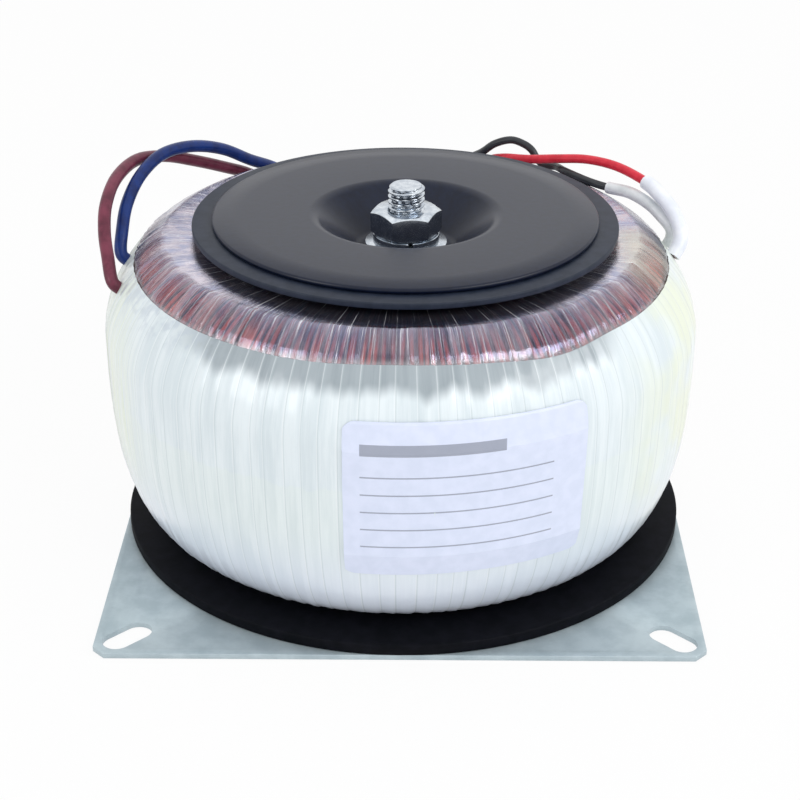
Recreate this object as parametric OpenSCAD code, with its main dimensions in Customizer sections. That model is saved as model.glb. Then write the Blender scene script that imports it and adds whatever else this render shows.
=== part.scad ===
// Toroidal transformer on a square mounting plate, held by one through bolt.
// Millimetres, +Z up along the bolt. The origin is the middle of the plate's underside.

/* [Mounting plate] */
// Side of the square plate
plate_w = 158.4; // [140:0.2:200]
// Thickness of the plate's sheet steel
plate_t = 1.5; // [1:0.1:3]
// Length cut off each side at the chamfered corners
plate_chamfer = 3.2; // [1:0.1:8]
// Distance of each slot's centre from the plate's two edges
slot_inset = 8.2; // [8:0.1:14]
// Width of the fixing slots
slot_w = 7.5; // [4:0.1:10]
// End-to-end length of the fixing slots
slot_len = 14; // [11:0.5:24]
// Height of the pressed recess for the bolt head, to the underside of its floor
recess_h = 10; // [8:0.5:16]
// Radius of the recess floor
recess_r = 14.5; // [12:0.5:16]
// Sideways run of the recess's sloping wall
recess_slope = 2.5; // [1:0.5:5]
// Radius of the pressed bends
press_r = 3; // [2:0.1:5]

/* [Rubber pads] */
// How far the pad under the winding stands past the middle of the plate's sides
pad_over = 0.3; // [-5:0.1:2]
// Thickness of the pad under the winding
base_pad_t = 3.2; // [1:0.1:6]
// Diameter of the pad on top of the winding
top_pad_d = 116; // [90:0.5:150]
// Thickness of the pad on top of the winding
top_pad_t = 1.7; // [1:0.1:5]
// Gap left round the pressed recess and the dish in the pads' holes
pad_gap = 1; // [0.5:0.1:3]

/* [Wound ring] */
// Greatest radius over the clear tape
wound_r = 82; // [76:0.5:95]
// Height of the wound ring
wound_h = 84.1; // [70:0.1:110]
// Radius of the hole through the ring
hole_r = 26; // [25:0.5:28]
// Height of the widest level above the ring's foot
wide_z = 57; // [50:0.5:62]
// Radius where the flat top ends and the shoulder starts
crest_r = 57; // [52:0.5:62]
// Radius where the flat top ends and the hole's rounding starts
crest_in_r = 44; // [40:0.5:48]
// Sideways offset of the ring on its pads
wound_shift = -0.9; // [-2:0.1:2]
// Exponent of the curve of the upper shoulder, 2 for an ellipse
shoulder_n = 1.75; // [1.5:0.05:3]
// Exponent of the curve of the lower edge, higher for squarer
foot_n = 2.9; // [2:0.1:4]

/* [Clear tape and band] */
// Turns of clear tape round the ring
tape_turns = 90; // [60:1:96]
// Height of the step at each overlap of the tape
tape_lap = 0.35; // [0.1:0.05:0.6]
// Share of each turn over which the tape rises before its step
tape_rise = 0.88; // [0.6:0.02:0.94]
// Thickness of the wrapped tape over the band
tape_t = 0.9; // [0.7:0.05:1.5]
// Thickness of the white band under the tape
band_t = 0.3; // [0.2:0.05:1]
// Height of the band's upper edge above the ring's foot
band_top = 75.9; // [60:0.1:77]
// Height of the band's lower edge above the ring's foot
band_bottom = 4.5; // [3:0.1:20]
// Play between the layers of the ring, and under the label
layer_gap = 0.05; // [0.02:0.01:0.2]

/* [Windings] */
// Turns seen round the outer winding
wire_turns = 90; // [60:1:96]
// Depth of the grooves between the turns
groove = 0.9; // [0.3:0.05:1.2]
// Thickness of the tape between the windings
interwinding_t = 0.8; // [0.4:0.1:2]
// Build of the inner winding
primary_t = 5; // [2:0.1:6]
// Thickness of the tape round the core
core_tape_t = 1; // [0.5:0.1:2]

/* [Core] */
// Depth of the core below the ring's surface, at the hole and at the side
core_side_depth = 16; // [14:0.5:20]
// Depth of the core below the ring's flat top and foot
core_end_depth = 17.05; // [14:0.05:24]

/* [Label] */
// Length of the label round the ring
label_w = 63.5; // [30:0.5:90]
// Height of the label
label_h = 43.5; // [20:0.5:44]
// Height of the label's middle above the ring's foot
label_z = 43; // [35:0.5:48]
// Direction of the label's middle, in degrees from +X
label_dir = -77.3; // [-120:0.1:-60]
// Radius of the label's corners
label_corner = 3.5; // [1:0.5:8]
// Thickness of the label
label_t = 0.3; // [0.2:0.05:0.5]

/* [Clamp plate] */
// Diameter of the clamp plate
clamp_d = 105.2; // [90:0.2:130]
// Thickness of the clamp plate's sheet steel
clamp_t = 1.6; // [1:0.1:3]
// Depth of the dish, from the rim's top to its floor's top
dish_depth = 10.1; // [6:0.1:14]
// Radius of the dish at the rim, where the bend starts
dish_r = 25.5; // [24:0.5:27]
// Radius of the flat floor of the dish
dish_floor_r = 13.5; // [12:0.5:14]
// Outside radius of the bend at the rim
dish_bend = 5; // [3:0.5:6]
// Radius of the bend round the dish's floor
dish_floor_bend = 3; // [2:0.5:4]

/* [Bolt and nut] */
// Diameter of the bolt's thread
bolt_d = 10; // [8:0.5:12]
// Length of the bolt under its head
bolt_len = 90; // [86:1:110]
// Height of the bolt's head
head_h = 6.4; // [5:0.1:7.5]
// Width across the flats of head and nut
flats = 17; // [15:0.5:19]
// Height of the nut
nut_h = 7; // [5:0.1:8]
// Width of the chamfered face of head and nut, as a share of the flats
face_share = 0.95; // [0.9:0.01:1]
// Turn of the nut about the bolt, in degrees
nut_turn = 8; // [0:1:30]
// Length of the chamfer at the bolt's tip
tip_chamfer = 0.8; // [0.3:0.1:1.5]
// Diameter of the flat washer
washer_d = 22.6; // [20:0.1:24]
// Thickness of the flat washer
washer_t = 2; // [1:0.1:3]
// Diameter of the spring washer
spring_d = 18.1; // [16:0.1:19]
// Thickness of the spring washer
spring_t = 2.2; // [1:0.1:3]
// Width of the split in the spring washer
spring_gap = 1.2; // [0.5:0.1:2]
// Direction of the split, in degrees from +X
split_dir = -82; // [-180:1:180]
// Radial clearance of the bolt in the plates and washers
bolt_gap = 0.3; // [0.1:0.05:0.6]

/* [Leads] */
// Diameter of the brown and blue leads
lead_d = 3.5; // [2:0.1:3.6]
// Diameter of the red lead
red_d = 2.7; // [2:0.1:2.8]
// Diameter of the black lead
black_d = 2.3; // [1.8:0.1:2.4]
// Outside diameter of the red lead's sleeve
red_sleeve_d = 4.3; // [3.8:0.1:4.5]
// Outside diameter of the black lead's sleeve
black_sleeve_d = 3.5; // [3.2:0.1:3.7]
// Gap between a sleeve's bore and its lead
sleeve_gap = 0.2; // [0.1:0.05:0.3]
// Diameter of the hole in the tape under each lead, as a share of the lead
exit_share = 0.6; // [0.4:0.05:0.9]
// Diameter of the bare conductor of the thicker leads, as a share of the lead
strand_share = 0.55; // [0.4:0.05:0.7]

/* [Hidden] */
$fn = 96;

// Levels, from the plate's underside up
foot_z = plate_t + base_pad_t;
crest_z = foot_z + wound_h;
rim_z = crest_z + top_pad_t + clamp_t;
floor_z = rim_z - dish_depth;
spring_z = floor_z + washer_t;
nut_z = spring_z + spring_t;
bolt_tip_z = recess_h + bolt_len;
core_z = foot_z + core_end_depth;

// Sizes that follow from the pieces around them
slot_offset = plate_w / 2 - slot_inset;
base_pad_d = plate_w + 2 * pad_over;
core_ri = hole_r + core_side_depth;
core_ro = wound_r - core_side_depth;
core_h = wound_h - 2 * core_end_depth;

// Points along one quarter of a superellipse round (cr, cz), from the side to the crest
function quarter(cr, cz, a, b, n, steps) =
    [for (i = [0 : steps])
        let (t = 90 * i / steps)
        [cr + a * pow(cos(t), 2 / n), cz + b * pow(sin(t), 2 / n)]];
function reversed(list) = [for (i = [len(list) - 1 : -1 : 0]) list[i]];
function without_last(list) = [for (i = [0 : len(list) - 2]) list[i]];

// Section of the wound ring, d below its outer surface: [r, z] points, anticlockwise
hole_z = foot_z + wound_h / 2;
function ring_section(d) =
    let (wz = foot_z + wide_z,
         top = crest_z - d - wz,
         bottom = wz - foot_z - d,
         out = wound_r - d - crest_r,
         in = hole_r + d - crest_in_r)
    concat(
        quarter(crest_r, wz, out, top, shoulder_n, 5),
        without_last(reversed(quarter(crest_in_r, hole_z, in, crest_z - d - hole_z, shoulder_n, 2))),
        quarter(crest_in_r, hole_z, in, foot_z + d - hole_z, foot_n, 2),
        without_last(reversed(quarter(crest_r, wz, out, -bottom, foot_n, 4))));

// Solid ring through a list of sections, one for each column of points round the ring
module ring_of_columns(angles, sections) {
    cols = len(angles);
    m = len(sections[0]);
    points = [for (k = [0 : cols - 1]) for (p = sections[k])
        [p[0] * cos(angles[k]), p[0] * sin(angles[k]), p[1]]];
    faces = [for (k = [0 : cols - 1]) for (i = [0 : m - 1])
        let (a = k * m + i,
             b = k * m + (i + 1) % m,
             c = ((k + 1) % cols) * m + (i + 1) % m,
             e = ((k + 1) % cols) * m + i)
        each [[a, b, c], [a, c, e]]];
    polyhedron(points, faces, convexity = 6);
}

// Rounded rectangle in the [r, z] plane, grown by g from the core's section
module core_section(g) {
    r = min(g, (hole_r + core_ri) / 4) + 0.01;
    x0 = core_ri - g;
    x1 = core_ro + g;
    z0 = core_z - g;
    z1 = core_z + core_h + g;
    polygon(concat(
        [for (t = [0 : 15 : 90]) [x1 - r + r * cos(t), z1 - r + r * sin(t)]],
        [for (t = [90 : 15 : 180]) [x0 + r + r * cos(t), z1 - r + r * sin(t)]],
        [for (t = [180 : 15 : 270]) [x0 + r + r * cos(t), z0 + r + r * sin(t)]],
        [for (t = [270 : 15 : 360]) [x1 - r + r * cos(t), z0 + r + r * sin(t)]]));
}

// A layer of the core's coverings, from g0 to g1 outside the core
module core_layer(g0, g1) {
    rotate_extrude()
        difference() {
            core_section(g1);
            core_section(g0);
        }
}

// Section of the ring, d below its outer surface
module ring_area(d) {
    polygon(ring_section(d));
}
// Heights between which the band lies, less a gap at each edge
module band_zone(gap) {
    translate([crest_r, foot_z + band_bottom + gap])
        square([wound_r, band_top - band_bottom - 2 * gap]);
}

// Sheet of thickness t whose middle follows a path of [r, z] points
function unit(v) = v / norm(v);
function left_of(v) = [-v[1], v[0]];
function bend(a, b, c, r, steps = 5) =
    let (u = unit(a - b),
         w = unit(c - b),
         half = acos(u * w) / 2,
         middle = b + unit(u + w) * r / sin(half),
         p0 = b + u * r / tan(half),
         start = atan2(p0[1] - middle[1], p0[0] - middle[0]),
         sweep = sign(cross(b - a, c - b)) * (180 - 2 * half))
    [for (i = [0 : steps]) middle + r * [cos(start + sweep * i / steps), sin(start + sweep * i / steps)]];
function beside(path, d) =
    [for (i = [0 : len(path) - 1])
        let (a = unit(path[max(i, 1)] - path[max(i, 1) - 1]),
             j = min(i, len(path) - 2),
             b = unit(path[j + 1] - path[j]),
             n = unit(left_of(a) + left_of(b)))
        path[i] + n * d / (n * left_of(a))];
module pressed_cup(start_r, corner_r, corner_z, rim_corner_r, rim_z, end_r, r0, r1, t) {
    a = [start_r, corner_z];
    b = [corner_r, corner_z];
    c = [rim_corner_r, rim_z];
    e = [end_r, rim_z];
    path = concat([a], bend(a, b, c, r0), bend(b, c, e, r1), [e]);
    rotate_extrude()
        polygon(concat(beside(path, -t / 2), reversed(beside(path, t / 2))));
}

// Slot running along X
module slot(len, w, h) {
    reach = (len - w) / 2;
    for (s = [-1, 1])
        translate([s * reach, 0, 0]) cylinder(d = w, h = h);
    translate([-reach, -w / 2, 0]) cube([2 * reach, w, h]);
}

// Square blank with its four corners cut off
module plate_blank() {
    h = plate_w / 2;
    k = h - plate_chamfer;
    linear_extrude(plate_t)
        polygon([[h, -k], [h, k], [k, h], [-k, h], [-h, k], [-h, -k], [-k, -h], [k, -h]]);
}

// Where the pressed recess meets the flat plate
recess_rim_r = recess_r + recess_slope;
recess_end_r = recess_rim_r + press_r + plate_t;

module mounting_plate() {
    color([0.66, 0.71, 0.72])
    difference() {
        union() {
            difference() {
                plate_blank();
                translate([0, 0, -1]) cylinder(r = recess_end_r, h = plate_t + 2);
            }
            pressed_cup(0, recess_r, recess_h + plate_t / 2, recess_rim_r, plate_t / 2,
                        recess_end_r, press_r, press_r, plate_t);
        }
        for (k = [0 : 3])
            rotate(90 * k)
                translate([slot_offset, slot_offset, -1])
                    rotate(45) slot(slot_len, slot_w, plate_t + 2);
        translate([0, 0, recess_h - 1]) cylinder(d = bolt_d + 2 * bolt_gap, h = plate_t + 2);
    }
}

module rubber_ring(d, hole, t) {
    difference() {
        cylinder(d = d, h = t);
        translate([0, 0, -1]) cylinder(r = hole, h = t + 2);
    }
}

module base_pad() {
    color([0.13, 0.13, 0.14])
    translate([0, 0, plate_t])
        rubber_ring(base_pad_d, recess_end_r + pad_gap, base_pad_t);
}

module core() {
    color([0.45, 0.46, 0.48])
    translate([wound_shift, 0, 0])
        rotate_extrude() core_section(0);
}

module core_tape() {
    color([0.95, 0.93, 0.8])
    translate([wound_shift, 0, 0]) core_layer(0, core_tape_t);
}

module primary_winding() {
    color([0.72, 0.4, 0.25])
    translate([wound_shift, 0, 0]) core_layer(core_tape_t, core_tape_t + primary_t);
}

module interwinding_tape() {
    color([0.9, 0.85, 0.5])
    translate([wound_shift, 0, 0])
        core_layer(core_tape_t + primary_t, core_tape_t + primary_t + interwinding_t);
}

// The turns stand up as ridges with a groove between each two
module secondary_winding() {
    cover = tape_t + band_t + layer_gap;
    cols = 2 * wire_turns;
    color([0.76, 0.42, 0.36])
    translate([wound_shift, 0, 0])
    difference() {
        ring_of_columns([for (k = [0 : cols - 1]) 360 * k / cols],
                        [for (k = [0 : cols - 1]) ring_section(cover + (k % 2) * groove)]);
        rotate_extrude() core_section(core_tape_t + primary_t + interwinding_t);
    }
}

module side_band() {
    color([0.93, 0.95, 0.95])
    translate([wound_shift, 0, 0])
    rotate_extrude()
        intersection() {
            difference() {
                ring_area(tape_t + layer_gap);
                ring_area(tape_t + band_t);
            }
            band_zone(layer_gap);
        }
}

// Each turn of tape rises over the one before and ends in a step
module outer_wrap() {
    pitch = 360 / tape_turns;
    cols = 2 * tape_turns;
    color([0.86, 0.9, 0.92, 0.45])
    difference() {
        translate([wound_shift, 0, 0])
            ring_of_columns([for (k = [0 : cols - 1]) pitch * (floor(k / 2) + (k % 2) * tape_rise)],
                            [for (k = [0 : cols - 1]) ring_section((1 - k % 2) * tape_lap)]);
        translate([wound_shift, 0, 0])
            rotate_extrude($fn = 360)
                union() {
                    ring_area(tape_t + band_t);
                    intersection() {
                        ring_area(tape_t);
                        band_zone(0);
                    }
                }
        lead_exit(brown_route[0], lead_d);
        lead_exit(blue_route[0], lead_d);
        lead_exit(black_route[0], black_d);
        lead_exit(red_route[0], red_d);
    }
}

// Radius of the upper shoulder at a height
function shoulder_r(z) =
    let (rise = (z - foot_z - wide_z) / (wound_h - wide_z))
    crest_r + (wound_r - crest_r) * pow(1 - pow(rise, shoulder_n), 1 / shoulder_n);

// Hole through the tape under the start of a lead, square to the shoulder
module lead_exit(start, d) {
    dir = atan2(start[1], start[0] - wound_shift);
    depth = tape_t + band_t;
    aim = unit([crest_r - shoulder_r(start[2]), 0, foot_z + wide_z - start[2]]);
    translate([wound_shift, 0, 0])
        rotate(dir)
            translate([shoulder_r(start[2]), 0, start[2]] - aim * depth)
                rotate([0, atan2(aim[0], aim[2]), 0])
                    cylinder(d = d * exit_share, h = 3 * depth, $fn = 16);
}

// Sheet curved round the ring's side, with round corners
module rating_label() {
    sweep = label_w / wound_r * 180 / PI;
    half_w = label_w / 2;
    color([0.87, 0.88, 0.93])
    translate([wound_shift, 0, 0])
    rotate(label_dir)
    intersection() {
        rotate(-sweep / 2)
            rotate_extrude(angle = sweep)
                intersection() {
                    difference() {
                        ring_area(-label_t - layer_gap);
                        ring_area(-layer_gap);
                    }
                    translate([crest_r, foot_z + label_z - label_h / 2])
                        square([wound_r, label_h]);
                }
        translate([0, 0, foot_z + label_z])
            rotate([90, 0, 90])
                linear_extrude(wound_r * 2)
                    rounded_outline(2 * wound_r * sin(sweep / 2), label_h, label_corner);
    }
}
module rounded_outline(w, h, r) {
    x = w / 2 - r;
    y = h / 2 - r;
    union() {
        square([w, h - 2 * r], center = true);
        square([w - 2 * r, h], center = true);
        for (sx = [-1, 1])
            for (sy = [-1, 1])
                translate([sx * x, sy * y]) circle(r);
    }
}

module top_pad() {
    color([0.2, 0.2, 0.22])
    translate([0, 0, crest_z])
        rubber_ring(top_pad_d, dish_r + dish_bend + pad_gap, top_pad_t);
}

module clamp_plate() {
    color([0.25, 0.26, 0.29])
    pressed_cup(bolt_d / 2 + bolt_gap, dish_floor_r, floor_z - clamp_t / 2,
                dish_r, rim_z - clamp_t / 2, clamp_d / 2, dish_floor_bend, dish_bend - clamp_t / 2, clamp_t);
}

// Hexagon prism with its corners chamfered, across the flats af
module hexagon(af, h, top, bottom) {
    corner = af / sqrt(3);
    cut = face_share * af / 2;
    slope = tan(30);
    intersection() {
        cylinder(r = corner, h = h, $fn = 6);
        rotate_extrude()
            polygon([[0, 0],
                     [bottom ? cut : corner, 0],
                     [corner, bottom ? (corner - cut) * slope : 0],
                     [corner, top ? h - (corner - cut) * slope : h],
                     [top ? cut : corner, h],
                     [0, h]]);
    }
}

module centre_bolt() {
    color([0.78, 0.81, 0.82])
    union() {
        translate([0, 0, recess_h - head_h]) hexagon(flats, head_h, false, true);
        translate([0, 0, recess_h]) cylinder(d = bolt_d, h = bolt_len - tip_chamfer);
        translate([0, 0, bolt_tip_z - tip_chamfer])
            cylinder(d1 = bolt_d, d2 = bolt_d - 2 * tip_chamfer, h = tip_chamfer);
    }
}

module washer(d, hole_d, t) {
    difference() {
        cylinder(d = d, h = t);
        translate([0, 0, -1]) cylinder(d = hole_d, h = t + 2);
    }
}

module flat_washer() {
    color([0.8, 0.84, 0.85])
    translate([0, 0, floor_z]) washer(washer_d, bolt_d + 2 * bolt_gap, washer_t);
}

module lock_washer() {
    color([0.75, 0.78, 0.8])
    translate([0, 0, spring_z])
    difference() {
        washer(spring_d, bolt_d + 2 * bolt_gap, spring_t);
        rotate(split_dir)
            translate([0, -spring_gap / 2, -1]) cube([spring_d, spring_gap, spring_t + 2]);
    }
}

module hex_nut() {
    color([0.78, 0.81, 0.82])
    translate([0, 0, nut_z])
    difference() {
        rotate(nut_turn) hexagon(flats, nut_h, true, true);
        translate([0, 0, -1]) cylinder(d = bolt_d, h = nut_h + 2);
    }
}

// Routes of the leads, from the winding over the rim and down behind to the floor
brown_route = [[-78.8, -13, 76.3], [-80.4, -8, 81], [-82, -1.5, 86], [-82.4, 6, 91],
    [-81, 17, 94.6], [-77, 29, 95.7], [-70.4, 39, 93.4], [-62.8, 47, 89.3], [-55, 54.5, 84.7],
    [-48.5, 62, 80], [-43.5, 70, 73.5], [-41, 77, 63], [-40, 81, 50], [-39.5, 83, 36],
    [-39.5, 85, 22], [-40, 89, 10], [-41, 97, 3.5], [-42, 107, 1.9], [-44, 121, 1.9],
    [-48, 136, 1.9]];
blue_route = [[-78.5, 2, 78.3], [-78.5, 6, 83.2], [-77.8, 13, 88.7], [-75, 22, 93.7],
    [-70, 32, 96.5], [-62.8, 42, 95.5], [-55, 50.5, 91.8], [-47.7, 57.5, 86.1],
    [-41, 65, 81], [-35, 73, 74], [-31, 80, 63], [-29, 83.5, 50], [-28.5, 85, 36],
    [-28.5, 87, 22], [-28, 91, 10], [-27, 99, 3.5], [-25, 109, 1.9], [-22, 123, 1.9],
    [-20, 138, 1.9]];
black_route = [[76.4, 16.5, 76.6], [75, 17.5, 81.5], [72.6, 20, 83.9], [69.2, 24, 86.2],
    [64.3, 30, 87.3], [58.3, 35, 87], [52.8, 39, 87.4], [46.5, 47, 87.5], [44.3, 53, 86.7],
    [41, 58.5, 85.2], [39, 61.5, 86.1], [37.4, 62.5, 88.5], [34.9, 63.5, 90.1],
    [31, 64.5, 91], [26.2, 66, 89.2], [22.4, 69, 85.4], [17.5, 74, 81], [13, 79.5, 74],
    [10, 83.5, 62], [8, 85, 48], [6, 86, 34], [6, 88, 20], [6, 93, 8.5], [6, 103, 2],
    [7, 116, 1.4], [9, 130, 1.4]];
red_route = [[77.9, 7, 77.3], [76.9, 13, 83.3], [74.7, 18, 87.3], [71.6, 22, 90],
    [68.4, 28, 91.4], [61.1, 37, 92.6], [53, 44.5, 92.1], [44.6, 50, 90.3], [36, 56, 87.9],
    [29.3, 63, 85.8], [25, 69, 82.9], [23, 75, 78], [21.5, 80.5, 69], [20.5, 83.5, 56],
    [19, 85, 40], [19, 86, 26], [19, 89, 13], [19.5, 96, 4], [20.5, 106, 1.5],
    [22, 119, 1.5], [25, 133, 1.5]];
black_sleeve_points = 6;
red_sleeve_points = 5;
tip_len = 8;

// Direction of a route at each of its points
function heading(route, i) =
    unit(route[min(i + 1, len(route) - 1)] - route[max(i - 1, 0)]);
// First side of the frame at each point, carried along the route without twist
function side_on(route, i) =
    let (t = heading(route, i),
         s = i == 0 ? cross(t, [0, 0.6, 0.8]) : side_on(route, i - 1))
    unit(s - (s * t) * t);
function ring_points(route, i, r, sides) =
    let (t = heading(route, i), s = side_on(route, i), u = cross(t, s))
    [for (k = [0 : sides - 1])
        route[i] + r * (cos(360 * k / sides) * s + sin(360 * k / sides) * u)];
function first_of(list, n) = [for (i = [0 : n - 1]) list[i]];

// Solid rod along a route
module rod(route, d, sides = 8) {
    n = len(route);
    points = [for (i = [0 : n - 1]) each ring_points(route, i, d / 2, sides)];
    walls = [for (i = [0 : n - 2]) for (k = [0 : sides - 1])
        let (a = i * sides + k, b = i * sides + (k + 1) % sides)
        each [[a, a + sides, b + sides], [a, b + sides, b]]];
    polyhedron(points,
               concat([[for (k = [0 : sides - 1]) k]], walls,
                      [[for (k = [sides - 1 : -1 : 0]) (n - 1) * sides + k]]));
}

// Tube along a route, open at both ends
module tube(route, d, bore, sides = 8) {
    n = len(route);
    outer = [for (i = [0 : n - 1]) each ring_points(route, i, d / 2, sides)];
    inner = [for (i = [0 : n - 1]) each ring_points(route, i, bore / 2, sides)];
    m = n * sides;
    faces = concat(
        [for (i = [0 : n - 2]) for (k = [0 : sides - 1])
            let (a = i * sides + k, b = i * sides + (k + 1) % sides)
            each [[a, a + sides, b + sides], [a, b + sides, b],
                  [m + a, m + b + sides, m + a + sides], [m + a, m + b, m + b + sides]]],
        [for (k = [0 : sides - 1])
            let (b = (k + 1) % sides)
            each [[k, b, m + b], [k, m + b, m + k]]],
        [for (k = [0 : sides - 1])
            let (a = (n - 1) * sides + k, b = (n - 1) * sides + (k + 1) % sides)
            each [[a, m + b, b], [a, m + a, m + b]]]);
    polyhedron(concat(outer, inner), faces, convexity = 4);
}

// Bare tinned end that follows on from a route
module tip(route, d) {
    last = len(route) - 1;
    t = heading(route, last);
    translate(route[last])
        rotate([0, acos(t[2]), atan2(t[1], t[0])])
            cylinder(d = d * strand_share, h = tip_len, $fn = 24);
}

module lead_brown() {
    color([0.45, 0.22, 0.26]) rod(brown_route, lead_d);
}
module lead_blue() {
    color([0.14, 0.28, 0.56]) rod(blue_route, lead_d);
}
module lead_black() {
    color([0.17, 0.18, 0.2]) rod(black_route, black_d);
}
module lead_red() {
    color([0.8, 0.16, 0.24]) rod(red_route, red_d);
}
module sleeve_black() {
    color([0.9, 0.92, 0.93, 0.8])
    tube(first_of(black_route, black_sleeve_points), black_sleeve_d, black_d + 2 * sleeve_gap);
}
module sleeve_red() {
    color([0.9, 0.92, 0.95, 0.8])
    tube(first_of(red_route, red_sleeve_points), red_sleeve_d, red_d + 2 * sleeve_gap);
}
module tip_brown() {
    color([0.8, 0.8, 0.8]) tip(brown_route, lead_d);
}
module tip_blue() {
    color([0.8, 0.8, 0.8]) tip(blue_route, lead_d);
}
module tip_black() {
    color([0.8, 0.8, 0.8]) tip(black_route, black_d);
}
module tip_red() {
    color([0.8, 0.8, 0.8]) tip(red_route, red_d);
}

mounting_plate();
base_pad();
core();
core_tape();
primary_winding();
interwinding_tape();
secondary_winding();
side_band();
outer_wrap();
rating_label();
top_pad();
clamp_plate();
centre_bolt();
flat_washer();
lock_washer();
hex_nut();
lead_brown();
lead_blue();
lead_black();
lead_red();
sleeve_black();
sleeve_red();
tip_brown();
tip_blue();
tip_black();
tip_red();
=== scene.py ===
# Toroidal transformer on a square mounting plate, dressed piece by piece from the plate up.
# Metres, +Z up along the bolt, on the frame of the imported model.

import math
import random

import bmesh
import bpy
from mathutils import Matrix, Vector, noise


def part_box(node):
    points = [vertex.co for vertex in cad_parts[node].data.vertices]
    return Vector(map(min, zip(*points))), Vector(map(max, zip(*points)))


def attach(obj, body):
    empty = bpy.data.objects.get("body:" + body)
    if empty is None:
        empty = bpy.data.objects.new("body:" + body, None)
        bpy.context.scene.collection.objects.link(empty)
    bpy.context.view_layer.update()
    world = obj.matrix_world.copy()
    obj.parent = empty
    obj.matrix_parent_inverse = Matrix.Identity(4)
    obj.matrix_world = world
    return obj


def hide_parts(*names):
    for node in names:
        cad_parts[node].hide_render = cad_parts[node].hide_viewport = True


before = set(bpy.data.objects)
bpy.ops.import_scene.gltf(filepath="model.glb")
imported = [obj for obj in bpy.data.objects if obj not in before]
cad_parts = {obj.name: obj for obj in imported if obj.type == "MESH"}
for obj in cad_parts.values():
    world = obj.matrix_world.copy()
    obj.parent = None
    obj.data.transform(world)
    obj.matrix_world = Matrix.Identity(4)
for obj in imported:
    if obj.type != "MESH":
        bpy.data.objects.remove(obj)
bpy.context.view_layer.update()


# Mounting plate: one square of galvanised sheet steel with cut corners and a fixing slot near
# each, pressed up in the middle for the bolt's head. It is a copy of the CAD solid with its
# cut edges just broken, under a faint mottle of zinc crystals.
def tint(red, green, blue):
    """Colour as it is seen, 0 to 255, turned into the linear values that a shader takes."""
    def linear(value):
        value = value / 255
        return value / 12.92 if value <= 0.04045 else ((value + 0.055) / 1.055) ** 2.4
    return (linear(red), linear(green), linear(blue), 1)


def add(tree, kind, **settings):
    """New node of a material, with its settings."""
    node = tree.nodes.new(kind)
    for key, value in settings.items():
        setattr(node, key, value)
    return node


def feed(tree, socket, value):
    """Gives a socket a plain value or a link, whichever it is."""
    if isinstance(value, bpy.types.NodeSocket):
        tree.links.new(value, socket)
    else:
        socket.default_value = value


def maths(tree, operation, *values, clamp=False):
    node = add(tree, "ShaderNodeMath", operation=operation, use_clamp=clamp)
    for socket, value in zip(node.inputs, values):
        feed(tree, socket, value)
    return node.outputs[0]


def mixed(tree, amount, first, second):
    """Colour between two others."""
    node = add(tree, "ShaderNodeMix", data_type="RGBA")
    for index, value in ((0, amount), (6, first), (7, second)):
        feed(tree, node.inputs[index], value)
    return node.outputs[2]


def rising(tree, value, start, end, low=0.0, high=1.0):
    """Smooth step of a value between two places."""
    node = add(tree, "ShaderNodeMapRange", interpolation_type="SMOOTHSTEP")
    for index, given in enumerate((value, start, end, low, high)):
        feed(tree, node.inputs[index], given)
    return node.outputs[0]


def noise_at(tree, coords, scale, detail=2.0, roughness=0.5):
    node = add(tree, "ShaderNodeTexNoise")
    for name, value in (("Vector", coords), ("Scale", scale), ("Detail", detail),
                        ("Roughness", roughness)):
        feed(tree, node.inputs[name], value)
    return node.outputs["Fac"]


def relief(tree, height, strength, shader, distance=0.0002):
    """Shallow bumps in a surface, where height is bright."""
    node = add(tree, "ShaderNodeBump")
    node.inputs["Strength"].default_value = strength
    node.inputs["Distance"].default_value = distance
    tree.links.new(height, node.inputs["Height"])
    tree.links.new(node.outputs[0], shader.inputs["Normal"])


def group_socket(group, name, direction, kind):
    group.interface.new_socket(name=name, in_out=direction, socket_type=kind)


mottle = bpy.data.node_groups.new("mottle", "ShaderNodeTree")
for name, kind in (("Vector", "NodeSocketVector"), ("Scale", "NodeSocketFloat"),
                   ("Dark", "NodeSocketColor"), ("Light", "NodeSocketColor")):
    group_socket(mottle, name, "INPUT", kind)
group_socket(mottle, "Colour", "OUTPUT", "NodeSocketColor")
group_socket(mottle, "Height", "OUTPUT", "NodeSocketFloat")
given = add(mottle, "NodeGroupInput")
taken = add(mottle, "NodeGroupOutput")
cloud = noise_at(mottle, given.outputs["Vector"], given.outputs["Scale"], 4.0, 0.6)
wandering = mixed(mottle, rising(mottle, cloud, 0.3, 0.7), given.outputs["Dark"], given.outputs["Light"])
mottle.links.new(wandering, taken.inputs["Colour"])
mottle.links.new(cloud, taken.inputs["Height"])


def new_material(name, roughness, metallic=0.0):
    material = bpy.data.materials.new(name)
    material.use_nodes = True
    shader = material.node_tree.nodes["Principled BSDF"]
    shader.inputs["Roughness"].default_value = roughness
    shader.inputs["Metallic"].default_value = metallic
    return material, material.node_tree, shader


def object_place(tree):
    return add(tree, "ShaderNodeTexCoord").outputs["Object"]


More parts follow.
